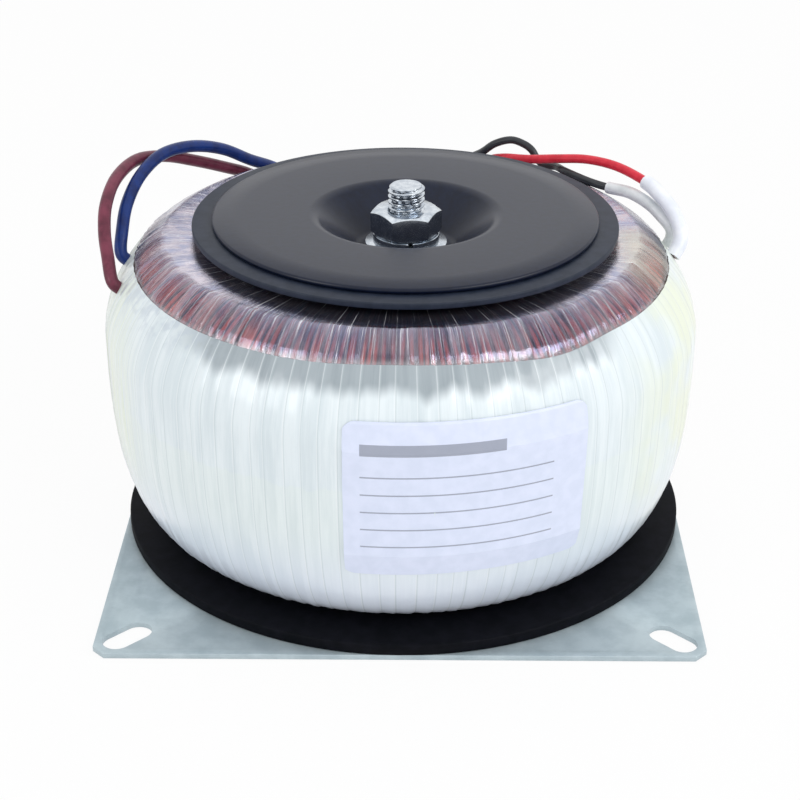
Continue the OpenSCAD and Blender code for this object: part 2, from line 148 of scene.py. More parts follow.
def mottled(name, dark, light, scale, roughness, metallic=0.0, depth=0.1, stretch=(1, 1, 1),
            shine=0.5):
    """Finish whose colour wanders between two tones, with a shallow relief of the same grain."""
    material, tree, shader = new_material(name, roughness, metallic)
    place = add(tree, "ShaderNodeMapping")
    place.inputs["Scale"].default_value = stretch
    tree.links.new(object_place(tree), place.inputs["Vector"])
    grain = add(tree, "ShaderNodeGroup", node_tree=mottle)
    feed(tree, grain.inputs["Vector"], place.outputs[0])
    feed(tree, grain.inputs["Scale"], scale)
    feed(tree, grain.inputs["Dark"], dark)
    feed(tree, grain.inputs["Light"], light)
    tree.links.new(grain.outputs["Colour"], shader.inputs["Base Color"])
    shader.inputs["Specular IOR Level"].default_value = shine
    relief(tree, grain.outputs["Height"], depth, shader)
    return material


def dress(piece, material):
    piece.data.materials.clear()
    piece.data.materials.append(material)


def place_piece(piece, material, *nodes):
    """Dresses a finished piece and puts it in place of its CAD nodes."""
    dress(piece, material)
    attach(piece, "root")
    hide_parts(*nodes)


def edge_broken(node, name, width, angle=30):
    """Copy of a CAD solid whose sharp edges are bevelled a little."""
    bpy.ops.object.select_all(action="DESELECT")
    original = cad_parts[node]
    piece = bpy.data.objects.new(name, original.data.copy())
    piece.matrix_world = original.matrix_world
    bpy.context.collection.objects.link(piece)
    piece.select_set(True)
    bpy.context.view_layer.objects.active = piece
    bpy.ops.object.mode_set(mode="EDIT")
    bpy.ops.mesh.select_all(action="SELECT")
    bpy.ops.mesh.remove_doubles(threshold=2e-6)
    bpy.ops.mesh.tris_convert_to_quads(face_threshold=0.01, shape_threshold=1.6)
    bpy.ops.mesh.dissolve_limited(angle_limit=0.01)
    bpy.ops.object.mode_set(mode="OBJECT")
    bevel = piece.modifiers.new("broken_edge", "BEVEL")
    bevel.width = width
    bevel.segments = 2
    bevel.limit_method = "ANGLE"
    bevel.angle_limit = math.radians(angle)
    bpy.ops.object.modifier_apply(modifier=bevel.name)
    bpy.ops.object.shade_smooth_by_angle(angle=math.radians(angle))
    return piece


plate_edge = 0.00018
plate = edge_broken("mounting_plate", "galvanised_plate", plate_edge)
zinc = mottled("galvanised_sheet", tint(166, 181, 188), tint(184, 198, 204), 150, 0.42, 0.25)
place_piece(plate, zinc, "mounting_plate")


# Bottom pad: a flat ring of black rubber sheet, held between the plate and the winding.
# Its edges are a little rounded from the cutting die.
def drawn(name, points):
    """Line drawn in the plane y = 0 from point to point, each a (radius, height)."""
    bpy.ops.object.select_all(action="DESELECT")
    bpy.ops.mesh.primitive_plane_add(size=0.001)
    piece = bpy.context.active_object
    piece.name = piece.data.name = name
    bpy.ops.object.mode_set(mode="EDIT")
    bpy.ops.mesh.select_all(action="SELECT")
    bpy.ops.mesh.merge(type="CENTER")
    bpy.ops.transform.translate(value=(points[0][0], 0, points[0][1]))
    for (r0, z0), (r1, z1) in zip(points, points[1:]):
        bpy.ops.mesh.extrude_region_move(TRANSFORM_OT_translate={"value": (r1 - r0, 0, z1 - z0)})
    bpy.ops.object.mode_set(mode="OBJECT")
    return piece


def turned(steps):
    """Turns the line being edited once round the bolt's axis and joins its ends."""
    bpy.ops.mesh.select_all(action="SELECT")
    bpy.ops.mesh.spin(steps=steps, angle=math.tau, center=(0, 0, 0), axis=(0, 0, 1))
    bpy.ops.mesh.select_all(action="SELECT")
    bpy.ops.mesh.remove_doubles(threshold=1e-6)


def spun(name, points, steps=180, angle=40):
    """Ring spun round the bolt's axis from a closed outline."""
    piece = drawn(name, points + points[:1])
    bpy.ops.object.mode_set(mode="EDIT")
    turned(steps)
    bpy.ops.mesh.normals_make_consistent(inside=False)
    bpy.ops.object.mode_set(mode="OBJECT")
    bpy.ops.object.shade_smooth_by_angle(angle=math.radians(angle))
    return piece


def rounded_section(inner, outer, low, high, radius):
    """Rectangle of (radius, height) points with round corners."""
    points = []
    for r, z, start in ((outer - radius, low + radius, -90), (outer - radius, high - radius, 0),
                        (inner + radius, high - radius, 90), (inner + radius, low + radius, 180)):
        for k in range(4):
            turn = math.radians(start + 30 * k)
            points.append((r + radius * math.cos(turn), z + radius * math.sin(turn)))
    return points


pad_low, pad_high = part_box("base_pad")
pad_hole_r = 0.0225
pad_edge_r = 0.0005
pad_section = rounded_section(pad_hole_r, pad_high[0], pad_low[2], pad_high[2], pad_edge_r)
base_pad = spun("base_pad_rubber", pad_section)
# painted shade: the bottom pad's rubber is coloured near-black, darker than the top pad's, for the shade
# under the ring
rubber = mottled("black_rubber_painted_shade", tint(4, 6, 11), tint(13, 14, 21), 300, 0.65, depth=0.2, shine=0.08)
place_piece(base_pad, rubber, "base_pad")


# Core and inner layers: a ring of wound steel strip under tape, the inner winding and more
# tape. They are sealed in the outer winding, so each keeps its CAD solid and gets its finish.
for name, dark, light, scale, roughness, metallic, stretch in (
        ("core", tint(100, 104, 110), tint(140, 144, 150), 1, 0.45, 0.9, (200, 200, 4000)),
        ("core_tape", tint(230, 224, 196), tint(244, 240, 220), 120, 0.4, 0, (1, 1, 1)),
        ("primary_winding", tint(140, 60, 44), tint(200, 116, 84), 1, 0.3, 0.8, (1500, 1500, 40)),
        ("interwinding_tape", tint(226, 204, 120), tint(240, 224, 150), 120, 0.4, 0, (1, 1, 1))):
    finish = mottled(name + "_finish", dark, light, scale, roughness, metallic, stretch=stretch)
    dress(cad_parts[name], finish)


# Outer winding: turns of red-brown enamelled wire over a bed of the same wire, some drawn tight
# and some standing a little proud, with a gap here and there where the bed shows. The bed is
# coloured darker than the wire as painted shade between the turns. Each turn is modelled over
# the top of the ring, where the tape is clear, and the bed closes the ring below.
RING_X = -0.0009
WIDEST = 0.0617
CREST = 0.0888
FOOT = 0.0047
OUTER_MID = 0.057
OUTER_REACH = 0.025
INNER_MID = 0.044
INNER_REACH = 0.018
SHOULDER = 1.75
BELLY = 2.9


def held(value, low=0, high=1):
    """A value kept between two limits."""
    return min(max(value, low), high)


def outer_radius(height):
    """Radius of the ring's rounded shoulder at a height above its widest place."""
    rise = min((height - WIDEST) / (CREST - WIDEST), 1)
    return OUTER_MID + OUTER_REACH * (1 - rise ** SHOULDER) ** (1 / SHOULDER)


def shoulder_height(radius):
    out = held((radius - OUTER_MID) / OUTER_REACH)
    return WIDEST + (CREST - WIDEST) * (1 - out ** SHOULDER) ** (1 / SHOULDER)


def quarter(mid_r, mid_z, reach, rise, power, steps):
    """Quarter of a rounded rectangle's outline, from its side to its top."""
    points = []
    for k in range(steps + 1):
        turn = math.radians(90 * k / steps)
        points.append((mid_r + reach * max(math.cos(turn), 0) ** (2 / power),
                       mid_z + rise * math.sin(turn) ** (2 / power)))
    return points


def ring_section(depth):
    """Closed outline of the ring's section, depth below its surface, from the widest place up."""
    middle = (FOOT + CREST) / 2
    reach_out = OUTER_REACH - depth
    reach_in = depth - INNER_REACH
    outer_top = quarter(OUTER_MID, WIDEST, reach_out, CREST - depth - WIDEST, SHOULDER, 14)
    inner_top = quarter(INNER_MID, middle, reach_in, CREST - depth - middle, SHOULDER, 7)
    inner_low = quarter(INNER_MID, middle, reach_in, FOOT + depth - middle, BELLY, 7)
    outer_low = quarter(OUTER_MID, WIDEST, reach_out, FOOT + depth - WIDEST, BELLY, 14)
    return outer_top + inner_top[-2::-1] + inner_low[1:] + outer_low[-1:0:-1]


bed_depth = 0.0031
bed = spun("winding_bed", ring_section(bed_depth))
bed.data.transform(Matrix.Translation((RING_X, 0, 0)))
# painted shade: the bed is coloured much darker than the wire on it, for the shade between the turns
painted_gap_shade = mottled("winding_shade", tint(48, 22, 28), tint(92, 36, 38), 300, 0.4, 0.2)
place_piece(bed, painted_gap_shade, "secondary_winding")

wire_r = 0.00062
wire_depth = 0.0029
wire_reach = 0.0226
wire_foot = 0.070
over_crown = quarter(OUTER_MID, WIDEST, wire_reach, CREST - wire_depth - WIDEST, SHOULDER, 15)
wire_line = [point for point in over_crown if point[1] > wire_foot]
wire_line += [(INNER_MID, CREST - wire_depth), (0.036, 0.0850)]
winding = drawn("winding_wires", wire_line)
bpy.ops.object.convert(target="CURVE")
winding = bpy.context.active_object
winding.data.bevel_depth = wire_r
winding.data.bevel_resolution = 1
bpy.ops.object.convert(target="MESH")
winding = bpy.context.active_object
wire_points = len(winding.data.vertices)
wire_count = 230
bpy.ops.object.mode_set(mode="EDIT")
bpy.ops.mesh.select_all(action="SELECT")
bpy.ops.mesh.spin(steps=wire_count - 1, angle=math.tau * (wire_count - 1) / wire_count, dupli=True,
                  center=(0, 0, 0), axis=(0, 0, 1))
bpy.ops.object.mode_set(mode="OBJECT")
chance = random.Random(7)
gaps = (1.0, 1.15, 1.3, 1.5, 1.9, 2.4)
gaps_in_all = 355
lean_z = 0.08
lean_span = 0.01
direction = 0.0
for k in range(wire_count):
    direction += chance.choice(gaps)
    lift = chance.uniform(-0.0003, 0.0004)
    lean = chance.uniform(-0.9, 0.9)
    own = math.radians(direction * 360 / gaps_in_all) - math.tau * k / wire_count
    for vertex in winding.data.vertices[k * wire_points:(k + 1) * wire_points]:
        turn = own + math.radians(lean) * (vertex.co.z - lean_z) / lean_span
        vertex.co = Matrix.Rotation(turn, 3, "Z") @ vertex.co + Vector((RING_X, 0, lift))
bpy.ops.object.shade_smooth()
enamel = mottled("enamelled_copper", tint(128, 34, 34), tint(196, 80, 64), 130, 0.28, 0.4, 0.05)
place_piece(winding, enamel, "secondary_winding")


# White band: a strip of white film round the side, under the last layer of clear tape. The tape
# is wound through the hole in lapped turns, so each turn stands as a flat facet with a thin edge.
TURNS = 108
chance = random.Random(19)
turn_starts = [(k + chance.uniform(-0.2, 0.2)) * 360 / TURNS for k in range(TURNS)]
turn_tilts = [chance.uniform(-1, 1) for k in range(TURNS)]


def bump_at(angle, middle, width):
    """Soft hump, 1 at a direction round the ring and 0 a width away from it."""
    apart = abs((angle - middle + 180) % 360 - 180) / width
    return 0.5 + 0.5 * math.cos(math.pi * apart) if apart < 1 else 0.0


def band_top(angle):
    """Height of the band's upper edge, which was laid a little unevenly."""
    return 0.0805 + 0.0006 * bump_at(angle, -90, 22) - 0.0010 * bump_at(angle, -58, 16)


def rough_at(angle, around, height):
    """Smooth chance value, -1 to 1, at a direction and a height that are already scaled."""
    a = math.radians(angle)
    return noise.noise(Vector((math.cos(a) * around, math.sin(a) * around, height)))


def taped(name, rows_at, columns_per_turn, depth_at):
    """Sheet round the ring in turns of tape. rows_at(angle) gives its outline from below, and
    depth_at(turn, share, angle, (r, z)) how far the tape lies under it, where share is how far
    across its turn a point is. The UV map holds turn and share, and how far up a point is."""
    mesh = bpy.data.meshes.new(name)
    bm = bmesh.new()
    places = []
    for k in range(TURNS):
        start = turn_starts[k]
        end = turn_starts[(k + 1) % TURNS] + (360 if k == TURNS - 1 else 0)
        for j in range(columns_per_turn):
            share = j / columns_per_turn
            places.append((k, share, start + (end - start) * share))
    columns = []
    for turn, share, angle in places:
        a = math.radians(angle)
        column = []
        for r, z, slope in rows_at(angle):
            depth = depth_at(turn, share, angle, (r, z))
            out = r - depth * math.cos(slope)
            height = z - depth * math.sin(slope)
            column.append(bm.verts.new((out * math.cos(a) + RING_X, out * math.sin(a), height)))
        columns.append(column)
    uv = bm.loops.layers.uv.new("tape")
    for i, column in enumerate(columns):
        ahead = columns[(i + 1) % len(columns)]
        left = places[i][0] + places[i][1]
        right = left + 1 / columns_per_turn
        for j in range(len(column) - 1):
            face = bm.faces.new((column[j], ahead[j], ahead[j + 1], column[j + 1]))
            face.smooth = True
            low, high = j / (len(column) - 1), (j + 1) / (len(column) - 1)
            corners = ((left, low), (right, low), (right, high), (left, high))
            for loop, place in zip(face.loops, corners):
                loop[uv].uv = place
    bm.to_mesh(mesh)
    bm.free()
    piece = bpy.data.objects.new(name, mesh)
    bpy.context.collection.objects.link(piece)
    return piece


def with_slopes(points):
    """Adds to each outline point the direction in which the surface faces there."""
    rows = []
    for i, (r, z) in enumerate(points):
        r0, z0 = points[max(i - 1, 0)]
        r1, z1 = points[min(i + 1, len(points) - 1)]
        rows.append((r, z, math.atan2(r0 - r1, z1 - z0)))
    return rows


def side_rows(angle):
    low = quarter(OUTER_MID, WIDEST, OUTER_REACH, FOOT - WIDEST, BELLY, 18)[::-1]
    rise = band_top(angle) - WIDEST
    heights = [WIDEST + rise * k / 10 for k in range(1, 11)]
    return with_slopes(low + [(outer_radius(height), height) for height in heights])


def side_depth(turn, share, angle, place):
    lapped = 0.00022 * (1 - share) + 0.00018 * turn_tilts[turn] * (share - 0.5)
    return lapped + 0.00010 * rough_at(angle, 26, place[1] * 60) + 0.0002


def axes_of(tree, vector):
    """The three parts of a vector."""
    node = add(tree, "ShaderNodeSeparateXYZ")
    tree.links.new(vector, node.inputs[0])
    return node.outputs


def tape_place(tree):
    """The turn of tape that a point is on, and how far up it is, from the UV map."""
    parts = axes_of(tree, add(tree, "ShaderNodeUVMap", uv_map="tape").outputs[0])
    return parts["X"], parts["Y"]


def flat_place(tree, across, up, x_scale, z_scale):
    """Place on a surface unrolled flat, for streaks that run along it."""
    node = add(tree, "ShaderNodeCombineXYZ")
    tree.links.new(maths(tree, "MULTIPLY", across, x_scale), node.inputs["X"])
    tree.links.new(maths(tree, "MULTIPLY", up, z_scale), node.inputs["Y"])
    return node.outputs[0]


def times(tree, first, *others):
    """Product of masks and plain numbers."""
    for value in others:
        first = maths(tree, "MULTIPLY", first, value)
    return first


side = taped("taped_side", side_rows, 5, side_depth)
band, tree, shader = new_material("white_band_under_tape", 0.34)
turn_place = tape_place(tree)[0]
where = object_place(tree)
x, y, z = axes_of(tree, where)
streaks = noise_at(tree, flat_place(tree, turn_place, z, 1.3, 22), 1.0, 4.0, 0.65)
fine = noise_at(tree, flat_place(tree, turn_place, z, 9, 30), 1.0, 3.0, 0.6)
cloud = noise_at(tree, where, 45, 3)
colour = mixed(tree, rising(tree, streaks, 0.35, 0.65), tint(211, 222, 227), tint(226, 235, 239))
colour = mixed(tree, rising(tree, fine, 0.5, 0.75, 0, 0.35), colour, tint(236, 242, 245))

# the lower end of the sheet inside, then yellowed film at both sides and a cool foot
inner_z = 0.047
uneven = noise_at(tree, flat_place(tree, turn_place, z, 0.9, 4), 1.0, 3.0)
inner_end = maths(tree, "MULTIPLY_ADD", uneven, 0.006, inner_z)
lower = rising(tree, maths(tree, "SUBTRACT", inner_end, z), -0.0006, 0.0006)
colour = mixed(tree, times(tree, lower, 0.25), colour, tint(224, 234, 226))
yellow = times(tree, rising(tree, x, 0.052, 0.074), rising(tree, cloud, 0.40, 0.62), 0.75)
colour = mixed(tree, yellow, colour, tint(226, 232, 203))
yellow = times(tree, rising(tree, x, -0.066, -0.077), rising(tree, fine, 0.40, 0.60), 0.7)
colour = mixed(tree, yellow, colour, tint(222, 230, 200))
lavender = rising(tree, z, 0.040, 0.012)
colour = mixed(tree, times(tree, lavender, 0.7), colour, tint(224, 231, 248))

# a grey end of tape under the upper edge in front, and smudges beside it
grey_z = 0.0700
torn = noise_at(tree, flat_place(tree, turn_place, z, 0.33, 0), 1.0, 3.0, 0.6)
edge = maths(tree, "MULTIPLY_ADD", torn, 0.011, grey_z)
front = times(tree, rising(tree, x, -0.060, -0.045), rising(tree, x, 0.056, 0.046),
              rising(tree, y, 0.0, -0.02))
grey = times(tree, front, rising(tree, maths(tree, "SUBTRACT", z, edge), -0.0022, 0.0016),
             rising(tree, streaks, 0.3, 0.7, 0.82, 1.0))
colour = mixed(tree, grey, colour, tint(145, 156, 163))
smudge = times(tree, rising(tree, x, -0.040, -0.055), rising(tree, z, 0.071, 0.079),
               rising(tree, noise_at(tree, where, 260, 3), 0.45, 0.62), 0.5)
colour = mixed(tree, smudge, colour, tint(178, 190, 204))

# each turn's own edge, dark where it ends, and a painted highlight where the next one laps it
share = maths(tree, "FRACT", turn_place)
seam = times(tree, rising(tree, share, 0.10, 0.02), rising(tree, streaks, 0.3, 0.5, 0.35, 0.9), 0.5)
colour = mixed(tree, seam, colour, tint(180, 193, 197))
colour = mixed(tree, times(tree, rising(tree, share, 0.93, 0.98), 0.35), colour, tint(244, 248, 250))
tree.links.new(colour, shader.inputs["Base Color"])
relief(tree, fine, 0.15, shader)
shader.inputs["Coat Weight"].default_value = 0.5
shader.inputs["Coat Roughness"].default_value = 0.15
place_piece(side, band, "side_band", "outer_wrap")


# Clear tape: over the shoulder it lies bare on the wires, glossy and creased. Next to the top
# pad its turns crowd into a level, many-layered shelf, and they thin out towards the band.
film_end_r = 0.0520
shelf_r = 0.058
shelf_z = 0.0870
tight_r = 0.0755
skirt = 0.0015


def film_rows(angle):
    """From a skirt tucked in at the band's edge, over the shoulder to under the top pad."""
    top = band_top(angle)
    edge = outer_radius(top)
    slope = 0.030 + 0.045 * rough_at(angle, 7, 2)
    bulge = 0.0011 * bump_at(angle, -90, 150)
    points = [(outer_radius(top - skirt) - 0.0010, top - skirt), (edge - 0.0004, top - 0.0002)]
    for k in range(1, 27):
        r = edge - (edge - film_end_r) * (k / 26) ** 0.9
        proud = shoulder_height(r) + 0.0002 + bulge * held((tight_r - r) / 0.0095)
        points.append((r, min(proud, shelf_z + slope * (r - shelf_r))))
    return with_slopes(points)


def film_depth(turn, share, angle, place):
    r = place[0]
    wrinkle = rough_at(angle, 60, r * 120)
    broad = rough_at(angle, 14, r * 40 + 5)
    loose = held((tight_r - r) / 0.002) * held((r - 0.0655) / 0.004, low=0.1)
    facet = 0.00030 * turn_tilts[turn] * (share - 0.5) + 0.00012 * (1 - share)
    return loose * (facet + 0.00022 * wrinkle + 0.00025 * broad)


def tone_of_turn(tree, turn_place):
    """A chance value for each turn of tape."""
    node = add(tree, "ShaderNodeTexWhiteNoise", noise_dimensions="1D")
    tree.links.new(maths(tree, "FLOOR", turn_place), node.inputs["W"])
    return node.outputs["Value"]


def swing(tree, value, size):
    """A chance value, 0 to 1, turned into a change to either side of nothing."""
    return times(tree, maths(tree, "SUBTRACT", value, 0.5), size)


film = taped("shoulder_tape", film_rows, 6, film_depth)
clear, tree, shader = new_material("clear_tape", 0.07)
turn_place, up = tape_place(tree)
x, y = axes_of(tree, object_place(tree))[:2]
creases = noise_at(tree, flat_place(tree, turn_place, up, 8.0, 1.1), 1.0, 5.0, 0.7)
patches = noise_at(tree, flat_place(tree, turn_place, up, 0.7, 3.0), 1.0, 3.0, 0.6)
colour = mixed(tree, rising(tree, patches, 0.35, 0.65), tint(166, 169, 196), tint(206, 198, 210))
# painted shade: the front of the tape is coloured dark navy, more so on the right, for the top pad's
# shade and its dark reflection
painted_front_shade = times(tree, rising(tree, y, -0.060, -0.030, 0.5, 0.0),
               rising(tree, x, -0.055, -0.025, 0.1, 1.0))
colour = mixed(tree, painted_front_shade, colour, tint(98, 98, 128))
# creases are coloured near white: partly the creased film's own whitening, partly a painted highlight
# where they catch the light
colour = mixed(tree, rising(tree, creases, 0.53, 0.68), colour, tint(238, 236, 243))
olive = times(tree, rising(tree, x, 0.052, 0.062), rising(tree, y, -0.036, -0.024),
              rising(tree, y, 0.008, -0.004), 0.7)
colour = mixed(tree, olive, colour, tint(206, 202, 184))

# the veil is how much the tape hides: it grows with the layers and in creases, and at the seams
thinnest, thickest = 0.13, 0.97
layers = maths(tree, "ADD", rising(tree, up, 0.10, 0.42, 0.38, 0.66),
               rising(tree, up, 0.36, 0.48, 0, 0.6))
back = rising(tree, y, -0.045, 0.02, 0.0, 0.22)
veil = maths(tree, "ADD", layers, swing(tree, creases, 1.25))
veil = maths(tree, "ADD", veil, swing(tree, patches, 0.3))
veil = maths(tree, "ADD", veil, swing(tree, tone_of_turn(tree, turn_place), 0.22))
veil = maths(tree, "ADD", veil, back, clamp=True)
share = maths(tree, "FRACT", turn_place)
seam = times(tree, rising(tree, share, 0.045, 0.01), rising(tree, creases, 0.4, 0.6))
lap = rising(tree, up, 0.072, 0.040, 0.0, 0.55)
white = maths(tree, "MAXIMUM", seam, lap)
colour = mixed(tree, white, colour, tint(240, 240, 244))
veil = maths(tree, "MAXIMUM", veil, times(tree, white, 0.8))
veil = maths(tree, "MINIMUM", maths(tree, "MAXIMUM", veil, thinnest), thickest)
mirror = maths(tree, "SUBTRACT", 0.95, times(tree, white, 0.7))
tree.links.new(colour, shader.inputs["Base Color"])
tree.links.new(veil, shader.inputs["Alpha"])
tree.links.new(mirror, shader.inputs["Metallic"])
relief(tree, creases, 0.5, shader)
place_piece(film, clear, "outer_wrap")


# Label: a sheet of pale self-adhesive paper on the side, printed with a plain grey bar and ruled
# lines to be filled in by hand. It curves with the tape, so it keeps its CAD solid.
def printed_line(tree, x, z, height, thick, start, end):
    """Mask of a level bar on the label between two places across it."""
    off = maths(tree, "ABSOLUTE", maths(tree, "SUBTRACT", z, height))
    return times(tree, maths(tree, "LESS_THAN", off, thick / 2),
                 maths(tree, "GREATER_THAN", x, start), maths(tree, "LESS_THAN", x, end))


label_low, label_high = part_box("rating_label")
label_width = label_high[0] - label_low[0]
margin = 0.07
bar = (0.0070, 0.0030, 0.66)
ruled_lines = [(0.0145 + 0.0050 * k, 0.0004, 0.86) for k in range(5)]
paper, tree, shader = new_material("plain_label", 0.38)
where = object_place(tree)
parts = axes_of(tree, where)
x, z = parts["X"], parts["Z"]
fibres = noise_at(tree, where, 300, 3)
colour = mixed(tree, rising(tree, fibres, 0.3, 0.7), tint(212, 220, 241), tint(219, 226, 247))
for drop, thick, reach in [bar] + ruled_lines:
    line = printed_line(tree, x, z, label_high[2] - drop, thick,
                        label_low[0] + margin * label_width, label_low[0] + reach * label_width)
    colour = mixed(tree, times(tree, line, 0.75), colour, tint(126, 131, 146))
tree.links.new(colour, shader.inputs["Base Color"])
relief(tree, fibres, 0.05, shader)
shader.inputs["Coat Weight"].default_value = 0.3
shader.inputs["Coat Roughness"].default_value = 0.12
dress(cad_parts["rating_label"], paper)


# Top pad: a thinner ring of the same rubber on the winding, a little wider than the clamp
# plate that presses on it. Its edges are rounded like those of the bottom pad.
top_low, top_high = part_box("top_pad")
top_hole_r = 0.0315
top_edge_r = 0.0004
top_section = rounded_section(top_hole_r, top_high[0], top_low[2], top_high[2], top_edge_r)
top_pad = spun("top_pad_rubber", top_section)
# painted light: the top pad's rubber is coloured lighter and bluer than the bottom pad's, for the light
# on top of the ring
lit_rubber = mottled("lit_rubber", tint(18, 28, 44), tint(32, 40, 56), 300, 0.5, depth=0.15, shine=0.3)
place_piece(top_pad, lit_rubber, "top_pad")


# Clamp plate: a round disc of pressed steel, dished in the middle for the nut and painted satin
# black. Its rim is rounded, and so are the bends of the dish.
def fillet(before, corner, after, radius, steps):
    """Arc that rounds a corner between two other points."""
    before, corner, after = Vector(before), Vector(corner), Vector(after)
    u, w = (before - corner).normalized(), (after - corner).normalized()
    half = u.angle(w) / 2
    centre = corner + (u + w).normalized() * radius / math.sin(half)
    first = corner + u * radius / math.tan(half) - centre
    last = corner + w * radius / math.tan(half) - centre
    total = first.angle(last) * (1 if first.x * last.y - first.y * last.x > 0 else -1)
    points = []
    for k in range(steps + 1):
        turn = total * k / steps
        c, s = math.cos(turn), math.sin(turn)
        points.append((centre.x + first.x * c - first.y * s, centre.y + first.x * s + first.y * c))
    return points


clamp_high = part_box("clamp_plate")[1]
rim_r, rim_z = clamp_high[0], clamp_high[2]
floor_z = 0.0820
sheet = 0.0016
under_z, under_floor_z = rim_z - sheet, floor_z - sheet
bore_r = 0.0053
floor_r, lip_r, flat_r = 0.0135, 0.0250, 0.045
under_floor_r, under_lip_r = 0.0142, 0.0257
round_r, nick = 0.0006, 0.0002
upper = [(bore_r, floor_z)]
upper += fillet((bore_r, floor_z), (floor_r, floor_z), (lip_r, rim_z), 0.0030, 8)
upper += fillet((floor_r, floor_z), (lip_r, rim_z), (rim_r, rim_z), 0.0045, 10)
upper += [(flat_r, rim_z), (rim_r - round_r, rim_z), (rim_r - nick, rim_z - nick),
          (rim_r, rim_z - round_r)]
lower = [(rim_r, under_z + round_r), (rim_r - nick, under_z + nick), (rim_r - round_r, under_z)]
lower += fillet((rim_r, under_z), (under_lip_r, under_z), (under_floor_r, under_floor_z), 0.0036, 8)
lower += fillet((under_lip_r, under_z), (under_floor_r, under_floor_z), (bore_r, under_floor_z),
                0.0040, 6)
lower += [(bore_r, under_floor_z)]
clamp = spun("clamp_disc", upper + lower, 240)
paint = mottled("satin_black_paint", tint(5, 14, 35), tint(10, 21, 44), 500, 0.28, depth=0.08,
                shine=0.28)
place_piece(clamp, paint, "clamp_plate")


# Bolt, washers and nut: zinc-plated steel. The bolt's head sits in the plate, its shank runs up
# through the ring, and its end has a rolled thread and a chamfer. The nut's edges are broken.
bright = mottled("bright_zinc", tint(176, 184, 194), tint(208, 214, 220), 500, 0.2, 1.0, 0.02)
bolt_r = 0.005
bolt_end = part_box("centre_bolt")[1][2]
thread_start = 0.0795
thread_pitch = 0.0015
thread_depth = 0.00085
thread_rows = 168
shank_lap = 0.0005
end_r = 0.0041
shank = edge_broken("centre_bolt", "bolt_shank", 0.0002)
bpy.ops.object.mode_set(mode="EDIT")
bpy.ops.mesh.select_all(action="SELECT")
bpy.ops.mesh.bisect(plane_co=(0, 0, thread_start + shank_lap), plane_no=(0, 0, 1),
                    clear_outer=True, use_fill=True)
bpy.ops.object.mode_set(mode="OBJECT")
thread_heights = [thread_start + (bolt_end - thread_start) * k / thread_rows
                  for k in range(thread_rows + 1)]
thread = drawn("bolt_thread", [(bolt_r, height) for height in thread_heights])
bpy.ops.object.mode_set(mode="EDIT")
turned(48)
bpy.ops.object.mode_set(mode="OBJECT")
for vertex in thread.data.vertices:
    x, y, z = vertex.co
    phase = (z / thread_pitch - math.atan2(y, x) / math.tau) % 1
    groove = held(1.35 - abs(phase - 0.5) * 3.4)
    radius = min(bolt_r - thread_depth * groove, end_r + 1.1 * (bolt_end - z))
    vertex.co = Vector((x, y, 0)).normalized() * radius + Vector((0, 0, z))
bpy.ops.object.mode_set(mode="EDIT")
bpy.ops.mesh.select_all(action="SELECT")
bpy.ops.mesh.region_to_loop()
bpy.ops.mesh.edge_face_add()
bpy.ops.mesh.select_all(action="SELECT")
bpy.ops.mesh.normals_make_consistent(inside=False)
bpy.ops.object.mode_set(mode="OBJECT")
bpy.ops.object.shade_smooth_by_angle(angle=math.radians(35))
for piece in (shank, thread):
    place_piece(piece, bright, "centre_bolt")
for node, name, width in (("flat_washer", "plain_washer", 0.0003),
                          ("lock_washer", "spring_washer", 0.0002),
                          ("hex_nut", "hexagon_nut", 0.00022)):
    place_piece(edge_broken(node, name, width), bright, node)


# Leads: flexible wire in coloured insulation, two thick ones on the left and two thin ones on
# the right that leave the tape in sleeves. They pass over the ring and down behind it, and
# each ends in tinned strands on the floor. Routes are in millimetres from the exit on.
CURVE_STEPS = 6


def smooth_line(route):
    """Points along a smooth curve through a route."""
    points = [Vector(p) / 1000 for p in route]
    ends = [2 * points[0] - points[1]] + points + [2 * points[-1] - points[-2]]
    line = []
    for i in range(1, len(ends) - 2):
        a, b, c, d = ends[i - 1:i + 3]
        for k in range(CURVE_STEPS):
            t = k / CURVE_STEPS
            line.append(0.5 * (2 * b + (c - a) * t + (2 * a - 5 * b + 4 * c - d) * t * t
                               + (3 * b - a - 3 * c + d) * t ** 3))
    return line + [points[-1]]


def tube(name, line, diameter):
    """Round cord along a line, its ends closed."""
    curve = bpy.data.curves.new(name, "CURVE")
    curve.dimensions = "3D"
    curve.bevel_depth = diameter / 2
    curve.bevel_resolution = 5
    curve.use_fill_caps = True
    spline = curve.splines.new("POLY")
    spline.points.add(len(line) - 1)
    for point, place in zip(spline.points, line):
        point.co = (*place, 1)
    spline.use_smooth = True
    piece = bpy.data.objects.new(name, curve)
    bpy.context.collection.objects.link(piece)
    return piece


def lay_lead(name, route, start, diameter, dark, light, sleeve=None):
    """Lead along a route, whose first point gives way to a start tucked into the tape. A sleeve
    is given as how many spans of the route it covers, its outside diameter and its finish."""
    line = smooth_line(start + route[1:])
    wire = tube("lead_" + name + "_wire", line, diameter)
    skin = mottled(name + "_insulation", dark, light, 240, 0.36, shine=0.3)
    place_piece(wire, skin, "lead_" + name)
    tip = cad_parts["tip_" + name]
    dress(tip, tinned)
    if sleeve:
        spans, outside, finish = sleeve
        cover = tube("sleeve_" + name + "_tube", line[:CURVE_STEPS * spans + 1], outside)
        place_piece(cover, finish, "sleeve_" + name)


